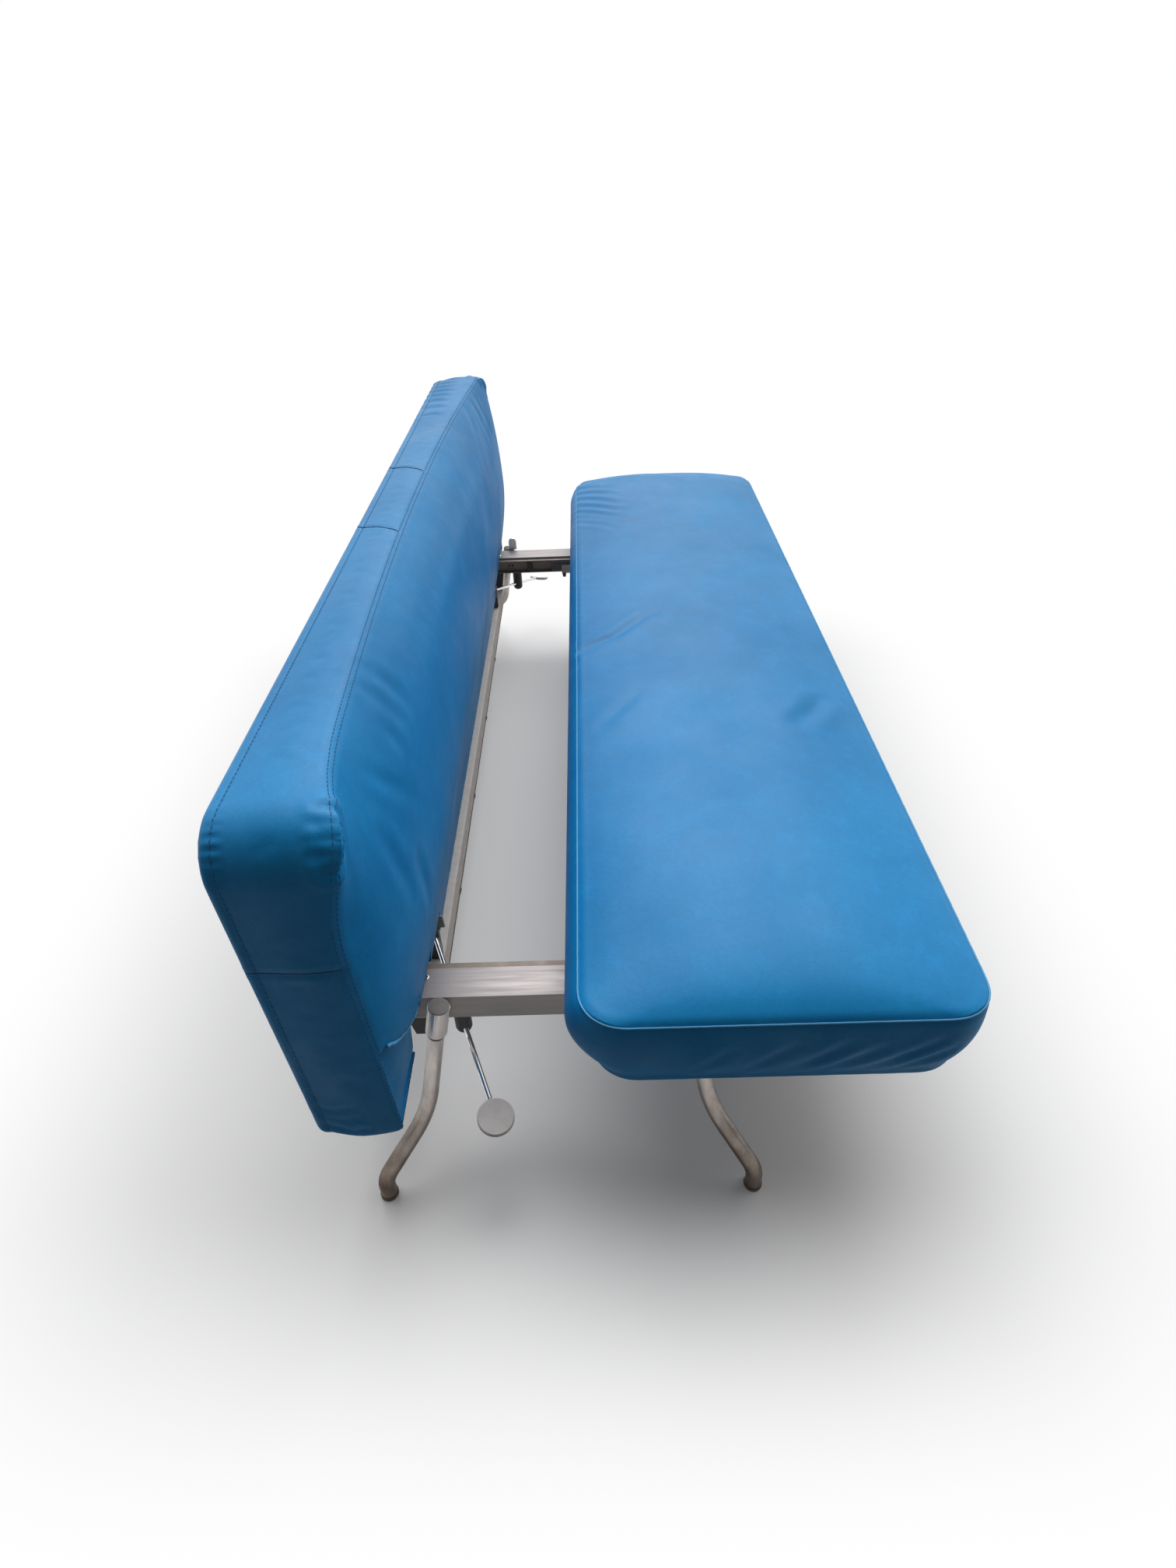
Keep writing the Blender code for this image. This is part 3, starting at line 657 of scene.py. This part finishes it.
SEAT_PLACE = Matrix.Translation((0, SEAT_REAR_Y - SEAT_DEPTH / 2, SEAT_FOOT_Z))
PANEL_W, PANEL_FALL = 0.142, 0.018      # height of the panel, and its fall beside the seams
PLEATS = [((0.965, 0.245), (0.945, 0.074), (0.836, -0.083)),
          ((0.920, 0.250), (0.823, 0.126), (0.741, -0.043)),
          ((0.880, 0.250), (0.773, 0.128), (0.687, 0.005)),
          ((0.834, 0.250), (0.734, 0.151), (0.661, -0.066)),
          ((0.783, 0.250), (0.684, 0.153), (0.620, 0.031)),
          ((0.735, 0.250), (0.657, 0.175), (0.595, 0.111)),
          ((0.698, 0.250), (0.616, 0.166), (0.564, 0.121)),
          ((0.663, 0.250), (0.600, 0.187), (0.543, 0.138))]
REAR_FOLD = ((-0.056, 0.247), (-0.030, 0.178), (0.038, 0.113), (0.060, 0.075))
FAINT_FOLD = ((-0.356, 0.212), (-0.304, 0.174), (-0.254, 0.135))
FRONT_DENT = ((-0.384, -0.132), (-0.340, -0.165), (-0.280, -0.200))
END_FACE = 1.003                        # u of the end band, as a place for creases
END_DRAGS = [((0.108, 0.021), (0.061, 0.079)), ((0.051, 0.013), (-0.019, 0.087)),
             ((-0.010, 0.014), (-0.084, 0.088)), ((-0.052, 0.010), (-0.129, 0.077)),
             ((-0.105, 0.010), (-0.200, 0.088)), ((-0.140, 0.008), (-0.219, 0.070))]


def seat_seam(u, v):
    return BOXING


def seat_swell(u, v):
    """Higher towards both ends, and squarer at the far one."""
    end = max(0.0, 1 - abs(u) ** (16 if u > 0 else 9)) ** 0.5
    rise = 0.028 + 0.016 * ramp(u, 0.45, 0.45) ** 2
    rise += 0.009 * ramp(-u, 0.30, 0.5) ** 2
    return rise * end * max(0.0, 1 - abs(v) ** 2.6) ** 0.8


def on_panel(*lines):
    return [[(u, v, PANEL_W - PANEL_FALL * (abs(v) > 0.2)) for u, v in line] for line in lines]


seat = make_cushion(SEAT_DEPTH / 2, SEAT_PLACE, seat_swell, seat_seam, sides=(0.003, 0.014, 0.017),
                    base=0.0, heel=CORNER_R, slack=0.0, cap=0.008)
seat.sew([closed_line(seat.loop(0.0))], depth=0.0012, width=0.006)
seat.crease(on_panel(*PLEATS), depth=0.0022, width=0.011)
seat.crease(on_panel(REAR_FOLD), depth=0.0048, width=0.014, ridge=0.4)
seat.crease(on_panel(FAINT_FOLD), depth=0.0018, width=0.014, ridge=0.3)
seat.crease(on_panel(FRONT_DENT), depth=0.0042, width=0.018)
for end in ENDS:
    drags = [[(end * END_FACE, v, w) for v, w in line] for line in END_DRAGS]
    seat.crease(drags, depth=0.0028, width=0.009)
seat.finish()
show(seat, "seat_cover", "seat_cushion", "seat")
welt(seat, "seat_welt", seat.loop(0.0), 0.0014, "seat", closed=True)


# Back

BACK_AXES = Matrix(((1, 0, 0, 0), (0, 0, -1, BACK_REAR),
                    (0, 1, 0, BACK_HEIGHT / 2 - PIVOT_UP), (0, 0, 0, 1)))
BACK_PLACE = Matrix.Translation(PIVOT) @ Matrix.Rotation(-LEAN, 4, "X") @ BACK_AXES
TOP_DIP = 0.030                         # how far the front seam lies back on the top band
NEAR_BOW, FAR_BOW = 0.031, 0.008        # how far it bows forward at the upper corners
FLAP = [(0.855, -0.159), (0.874, -0.167), (0.923, -0.140), (0.968, -0.108), (0.986, -0.093)]
FLAP_START, FLAP_STEP, FLAP_EDGE = 0.850, 0.011, 0.006
SEAM_OUT, REAR_SEAM_W = 0.003, 0.0165   # the rear seam, out from the front one and off the board
PUCKERS = ((78, 0.8), (62, 1.1), (46, 1.0), (30, 1.2), (14, 0.8))       # angle and size
PUCKER_REACH = 0.030
TICKS, TICK_WS = (8, 20, 31, 43, 56, 68, 80), (0.010, 0.018, 0.028)     # angles, places in w
CROSS_JOINS = [[(0.196, 0.2655, 0.002), (0.152, 0.2660, 0.084)],
               [(-0.136, 0.2655, 0.002), (-0.177, 0.2660, 0.086)]]
END_JOINS = [[(end * 1.004, 0.071, 0.002), (end * 1.005, 0.072, 0.06), (end * 1.001, 0.068, 0.116)]
             for end in ENDS]
END_FOLDS = [[(-1.005, v, w), (-1.005, v - 0.004, w + 0.022), (-1.004, v + 0.006, w + 0.048)]
             for v, w in ((-0.196, 0.016), (-0.214, 0.022), (-0.231, 0.014), (-0.243, 0.030))]
GATHERS = [[(u, 0.267, 0.012), (u - 0.012, 0.268, 0.045), (u - 0.03, 0.267, 0.075)]
           for u in (0.945, 0.905, 0.868, 0.822, 0.775, 0.722, 0.66, 0.59)]
FRONT_FOLDS = [[(-0.637, 0.252, 0.121), (-0.625, 0.212, 0.146), (-0.600, 0.165, 0.160)],
               [(-0.684, 0.244, 0.129), (-0.668, 0.205, 0.150), (-0.640, 0.160, 0.161)],
               [(-0.707, 0.200, 0.146), (-0.690, 0.150, 0.158)],
               [(0.672, 0.255, 0.122), (0.600, 0.205, 0.148), (0.545, 0.161, 0.159)],
               [(0.743, 0.242, 0.130), (0.735, 0.195, 0.150), (0.730, 0.145, 0.157)],
               [(0.800, 0.242, 0.130), (0.805, 0.190, 0.150), (0.800, 0.130, 0.158)],
               [(-0.858, 0.143, 0.150), (-0.845, 0.080, 0.158), (-0.822, 0.009, 0.160)],
               [(-0.781, 0.027, 0.163), (-0.770, -0.020, 0.163), (-0.758, -0.071, 0.160)]]


def back_seam(u, v):
    """The front seam lies back on the top band in the middle and bows forward at the corners."""
    top = -TOP_DIP * max(0.0, 1 - (u / 0.86) ** 2) * ramp(v, 0.10, 0.14)
    away = (abs(u) - 0.99) ** 2 + (v - 0.25) ** 2
    return BOXING + top + (NEAR_BOW if u < 0 else FAR_BOW) * math.exp(-away / 0.008)


def back_swell(u, v):
    """Full above, flatter towards the lower edge."""
    across = max(0.0, 1 - abs(v) ** 2.6) ** 0.62 if v > 0 else max(0.0, 1 - v * v) ** 2.2
    return 0.043 * max(0.0, 1 - abs(u) ** (14 if u > 0 else 6)) ** 0.55 * across


def press_flaps(c):
    """Below the hem at each end the cover lies flatter."""
    hem_u, hem_v = np.array(FLAP).T
    u, v, w = np.abs(c.co[:, 0]), c.co[:, 1], c.co[:, 2]
    below = np.clip((np.interp(u, hem_u, hem_v) - v) / FLAP_EDGE, 0, 1)
    reach = np.clip((u - FLAP_START) / 0.012, 0, 1) * np.clip((c.half_u - 0.002 - u) / 0.01, 0, 1)
    c.co[:, 2] -= np.where(w > BOXING - 0.004, FLAP_STEP * below * reach, 0)


def corner_point(c, end, deg, out):
    """Place in u and v round an upper corner, beyond its seam by out."""
    a, r = math.radians(deg), CORNER_R + out
    return (end * (LENGTH / 2 - CORNER_R + r * math.cos(a)),
            c.half_v - CORNER_R + r * math.sin(a))


def corner_puckers(c, end):
    """Short folds across the front seam where it turns a corner."""
    folds = []
    for deg, size in PUCKERS:
        line = []
        for out, lift in ((SEAM_OUT, -0.015 * size), (0.0, 0.0), (-PUCKER_REACH * size, 0.010)):
            u, v = corner_point(c, end, deg, out)
            line.append((u, v, c.seam(u, v) + lift))
        folds.append(line)
    return folds


def corner_ticks(c, end):
    """Small puckers along the rear seam where it turns a corner."""
    spots = [corner_point(c, end, deg, SEAM_OUT) for deg in TICKS]
    return [[(*spot, w) for w in TICK_WS] for spot in spots]


back = make_cushion(BACK_HEIGHT / 2, BACK_PLACE, back_swell, back_seam, sides=(0.005, 0.0, 0.0),
                    base=BACK_REAR - PAD_REAR, heel=HEEL_R, slack=0.002, cap=0.006)
REAR_SEAM = [(u, v, REAR_SEAM_W) for u, v, _ in back.loop(-SEAM_OUT)]
press_flaps(back)
back.sew([closed_line(back.loop(0.0))], depth=0.0014, width=0.006)
back.sew(CROSS_JOINS + END_JOINS, depth=0.0016, width=0.005)
for end in ENDS:
    back.crease(corner_puckers(back, end), depth=0.0050, width=0.0075, ridge=0.7)
back.crease(END_FOLDS, depth=0.0016, width=0.007)
back.sew([closed_line(REAR_SEAM)], depth=0.0011, width=0.004)
for end in ENDS:
    back.crease(corner_ticks(back, end), depth=0.0013, width=0.0042, ridge=0.6)
back.crease(GATHERS, depth=0.0024, width=0.011)
back.crease(FRONT_FOLDS, depth=0.0020, width=0.015, ridge=0.4)


# Notches in the back's lower edge

NOTCH_AIR = 0.006               # between the beams and what passes over them
ROD_DROP = 0.0285               # the tops of the notches over the release rods lie lower by this
STEP_IN = 0.010                 # where a notch's arc ends, ahead of the padding's rear face
BEAM_STEP, ROD_STEP = -0.019, 0.60      # height behind the arc, and as a share of the radius
R_BEAM = PIVOT.z - BEAM_TOP - NOTCH_AIR
R_ROD = R_BEAM + ROD_DROP
BEAM_SLOT, ROD_SLOT, HINGE_SLOT = (0.742, 0.8688), (0.6325, 0.743), (0.7885, 0.8385)
POCKET_TOP, POCKET_FRONT = 0.034, 0.026         # above and ahead of the hinge axis
PAST = 0.29                     # well outside the cover
ARC_STEPS = 6


def swing_outline(radius, stop, rear):
    """Notch that clears what the folding back passes, from its front to its rear face."""
    sweep = math.degrees(math.asin((PAD_REAR - STEP_IN) / radius))
    turns = [math.radians(sweep * k / ARC_STEPS) for k in range(ARC_STEPS + 1)]
    arc = [(radius * math.sin(a), -radius * math.cos(a)) for a in turns]
    line = [(-PAST, -PAST), (-PAST, -radius)] + arc + [(rear, stop), (PAST, stop), (PAST, -PAST)]
    return [(z + PIVOT_UP - BACK_HEIGHT / 2, BACK_REAR - y) for y, z in line]


def pocket_outline():
    """Pocket for a hinge, open below and to the rear."""
    foot, front, rear = -R_BEAM - 0.02, BACK_REAR + POCKET_FRONT, -0.2
    line = [(foot, front), (POCKET_TOP, front), (POCKET_TOP, rear), (foot, rear)]
    return [(z - BACK_HEIGHT / 2 + PIVOT_UP, w) for z, w in line]


def notches():
    cuts = []
    for end in ENDS:
        for outline, span in (
                (swing_outline(R_BEAM, BEAM_STEP, PAD_REAR - STEP_IN), BEAM_SLOT),
                (swing_outline(R_ROD, -R_ROD * ROD_STEP, BACK_REAR + 0.004), ROD_SLOT),
                (pocket_outline(), HINGE_SLOT)):
            cuts.append((outline, *sorted(end * u for u in span)))
    return cuts


back.carve(notches())
back.finish()
show(back, "back_cover", "back_cushion", "back")
stitches(back, "back_stitch_panel", back.loop(0.0035, 0.002), "back")
stitches(back, "back_stitch_band", back.loop(0.0, -0.004), "back")
stitches(back, "back_stitch_rear", REAR_SEAM, "back")
for end, side in zip(ENDS, ("near", "far")):
    hem = [(end * u, v, 0.13) for u, v in FLAP]
    welt(back, "back_hem_" + side, hem, 0.0026, "back", lift=0.0012)
for number, line in enumerate(CROSS_JOINS + END_JOINS):
    welt(back, "back_join_%d" % number, line, 0.0008, "back", "thread", THREAD_LIFT)


# Small fittings of the frame

EDGE_POINTS, EDGE_R, EDGE_UP, EDGE_SHORT = 240, 0.0016, 0.0012, 0.002
EDGE_LUMPS, LUMP_R, LUMP_HALF = (-0.46, -0.17, 0.14, 0.43), 0.0022, 0.006
SCREW_OFFS, SCREW_Z = (0.193, 0.203), 0.2585    # behind the seat's rear seam, above the floor
SCREW_GAP, SCREW_OUT, SCREW_RADII = 0.0004, 0.0022, (0.0030, 0.0022)
CAP_STEPS, CAP_RADII = (0.0, 0.0009, 0.0014), (0.0158, 0.0158, 0.0146)
# dark ring below each leg socket: grime and painted contact shade at the joint
GRIME_SHADE_STEPS, GRIME_SHADE_RADII = (0.0, -0.0078, -0.0088), (0.0130, 0.0130, 0.0126)
TAB_R, TAB_UP, TAB_XS = 0.011, 0.022, (0.8385, 0.8435)
TAB_OFF, TAB_GAP = 0.194, 0.0002        # behind the seat's rear seam, above the beam


def rail_edge():
    """Dark edging along the rail's front lower edge, with a few lumps where it is fixed."""
    xs = np.linspace(RAIL_LOW.x + EDGE_SHORT, RAIL_HIGH.x - EDGE_SHORT, EDGE_POINTS)
    lump = sum(np.exp(-((xs - at) / LUMP_HALF) ** 2) for at in EDGE_LUMPS)
    zs = RAIL_LOW.z + EDGE_UP + EDGE_UP * lump
    pts = np.stack([xs, np.full(EDGE_POINTS, RAIL_LOW.y), zs], 1)
    verts, faces = tube_data(pts, EDGE_R + LUMP_R * lump)
    piece("rail_edge", verts, faces, "edging", "frame")


def channel_screws():
    """Two small dark heads on the inner face of each slide channel."""
    for end, side in zip(ENDS, ("left", "right")):
        for number, off in enumerate(SCREW_OFFS):
            x, y = end * (WEB_X - SCREW_GAP), off + SEAT_REAR_Y
            verts, faces = tube_data([(x, y, SCREW_Z), (x - end * SCREW_OUT, y, SCREW_Z)],
                                     SCREW_RADII, sides=14)
            piece("channel_screw_%d_%s" % (number, side), verts, faces, "black_plastic", "frame")


def disc(name, foot, axis, steps, radii):
    verts, faces = tube_data([foot + axis * step for step in steps], radii, sides=28)
    piece(name, verts, faces, "cap", "frame")


def collar_caps():
    """A dull disc on the top of each leg socket, and at its foot a dark ring of grime and painted
    contact shade where it meets the tube.
    """
    for row, way in (("front", -1), ("rear", 1)):
        for side in ("left", "right"):
            low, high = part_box("leg_collar_%s_%s" % (row, side))
            axis = Vector((0, math.sin(-way * LEG_RAKE), math.cos(-way * LEG_RAKE)))
            top = Vector(((low.x + high.x) / 2, FRAME_MID + SEAT_REAR_Y + way * LEG_OFF, BEAM_TOP))
            disc("collar_cap_%s_%s" % (row, side), top + axis * FIT, axis, CAP_STEPS, CAP_RADII)
            # the ring at the socket's foot is grime and painted contact shade
            disc("collar_grime_and_shade_%s_%s" % (row, side), top - axis * (COLLAR_LEN + FIT), axis,
                 GRIME_SHADE_STEPS, GRIME_SHADE_RADII)


def tab():
    """Upright tab on the outer side of the far beam, ahead of the back's swing."""
    arc = [(TAB_R * math.cos(math.radians(a)), TAB_R * math.sin(math.radians(a)) + TAB_UP)
           for a in range(0, 181, 12)]
    outline = [(TAB_OFF + SEAT_REAR_Y + y, BEAM_TOP + TAB_GAP + z)
               for y, z in [(TAB_R, 0.0), (-TAB_R, 0.0)] + arc[::-1]]
    verts, faces = prism_data(outline, *TAB_XS)
    piece("far_tab", verts, faces, "tab", "frame")


rail_edge()
channel_screws()
collar_caps()
tab()


# Floor and light

FLOOR_HALF = 40
FLOOR_DULL, FLOOR_PALE, FLOOR_GLOW = 0.13, 0.86, 0.02
FADE_SHIFT, FADE_HALF = (0.16, -0.10, 0), (0.74, 0.56, 0)   # the floor keeps its shade in here
FADE_START, FADE_END = 0.03, 0.54
KEY_TOWARDS, KEY_ANGLE, KEY_POWER = (-0.64, 0.02, -0.76), math.radians(42), 1.5
SKY = {"From Min": -0.19, "From Max": 0.13, "To Min": 0.02, "To Max": 1.52}


def grey(value):
    return (value, value, value, 1)


def seen_or_mirrored(tree):
    """1 for rays from the camera and for those that gloss or glass sends on."""
    path = tree.nodes.new("ShaderNodeLightPath")
    share = path.outputs["Is Camera Ray"]
    for key in ("Is Glossy Ray", "Is Transmission Ray"):
        most = tree.nodes.new("ShaderNodeMath")
        most.operation = "MAXIMUM"
        tree.links.new(share, most.inputs[0])
        tree.links.new(path.outputs[key], most.inputs[1])
        share = most.outputs["Value"]
    return share


def away_from_couch(tree):
    """0 under the couch, rising to 1 well beyond its outline."""
    new, link = tree.nodes.new, tree.links.new
    spot = new("ShaderNodeTexCoord").outputs["Object"]
    for operation, other in (("ADD", FADE_SHIFT), ("ABSOLUTE", None), ("SUBTRACT", FADE_HALF),
                             ("MAXIMUM", (0, 0, 0)), ("LENGTH", None)):
        step = new("ShaderNodeVectorMath")
        step.operation = operation
        if other is not None:
            step.inputs[1].default_value = other
        link(spot, step.inputs[0])
        spot = step.outputs["Value" if operation == "LENGTH" else "Vector"]
    fade = new("ShaderNodeMapRange")
    fade.interpolation_type = "SMOOTHSTEP"
    fade.inputs["From Min"].default_value = FADE_START
    fade.inputs["From Max"].default_value = FADE_END
    link(spot, fade.inputs["Value"])
    return fade.outputs["Result"]


def floor_material():
    """Pale where it is seen, duller for the light that it throws back on the couch."""
    mat = bpy.data.materials.new("floor_pale")
    mat.use_nodes = True
    tree = mat.node_tree
    tree.nodes.clear()
    new, link = tree.nodes.new, tree.links.new
    dull, pale = new("ShaderNodeBsdfDiffuse"), new("ShaderNodeBsdfDiffuse")
    dull.inputs["Color"].default_value = grey(FLOOR_DULL)
    pale.inputs["Color"].default_value = grey(FLOOR_PALE)
    glow, white = new("ShaderNodeEmission"), new("ShaderNodeEmission")
    glow.inputs["Strength"].default_value = FLOOR_GLOW
    lit = new("ShaderNodeAddShader")
    link(pale.outputs["BSDF"], lit.inputs[0])
    link(glow.outputs["Emission"], lit.inputs[1])
    fade = new("ShaderNodeMixShader")
    link(away_from_couch(tree), fade.inputs["Fac"])
    link(lit.outputs["Shader"], fade.inputs[1])
    link(white.outputs["Emission"], fade.inputs[2])
    mix = new("ShaderNodeMixShader")
    link(seen_or_mirrored(tree), mix.inputs["Fac"])
    link(dull.outputs["BSDF"], mix.inputs[1])
    link(fade.outputs["Shader"], mix.inputs[2])
    link(mix.outputs["Shader"], new("ShaderNodeOutputMaterial").inputs["Surface"])
    return mat


def add_floor():
    corners = [(x * FLOOR_HALF, y * FLOOR_HALF, 0) for x, y in ((-1, -1), (1, -1), (1, 1), (-1, 1))]
    mesh = bpy.data.meshes.new("floor")
    mesh.from_pydata(corners, [], [(0, 1, 2, 3)])
    mesh.materials.append(floor_material())
    obj = bpy.data.objects.new("floor", mesh)
    SCENE.collection.objects.link(obj)


def add_key():
    """A broad soft lamp from above, beyond the far end."""
    data = bpy.data.lights.new("key", "SUN")
    data.angle, data.energy = KEY_ANGLE, KEY_POWER
    obj = bpy.data.objects.new("key", data)
    obj.rotation_euler = Vector(KEY_TOWARDS).to_track_quat("-Z", "Y").to_euler()
    SCENE.collection.objects.link(obj)


def add_world():
    """White to the eye and in gloss; as a lamp, a soft sky that is dim on the viewer's side."""
    world = bpy.data.worlds.new("studio")
    SCENE.world = world
    world.use_nodes = True
    tree = world.node_tree
    tree.nodes.clear()
    new, link = tree.nodes.new, tree.links.new
    white, soft = new("ShaderNodeBackground"), new("ShaderNodeBackground")
    white.inputs["Color"].default_value = grey(1)
    parts = new("ShaderNodeSeparateXYZ")
    link(new("ShaderNodeTexCoord").outputs["Generated"], parts.inputs["Vector"])
    level = new("ShaderNodeMapRange")
    level.interpolation_type = "SMOOTHSTEP"
    for key, value in SKY.items():
        level.inputs[key].default_value = value
    link(parts.outputs["X"], level.inputs["Value"])
    link(level.outputs["Result"], soft.inputs["Strength"])
    mix = new("ShaderNodeMixShader")
    link(seen_or_mirrored(tree), mix.inputs["Fac"])
    link(soft.outputs["Background"], mix.inputs[1])
    link(white.outputs["Background"], mix.inputs[2])
    link(mix.outputs["Shader"], new("ShaderNodeOutputWorld").inputs["Surface"])


add_floor()
add_key()
add_world()
SCENE.view_settings.view_transform = "Standard"
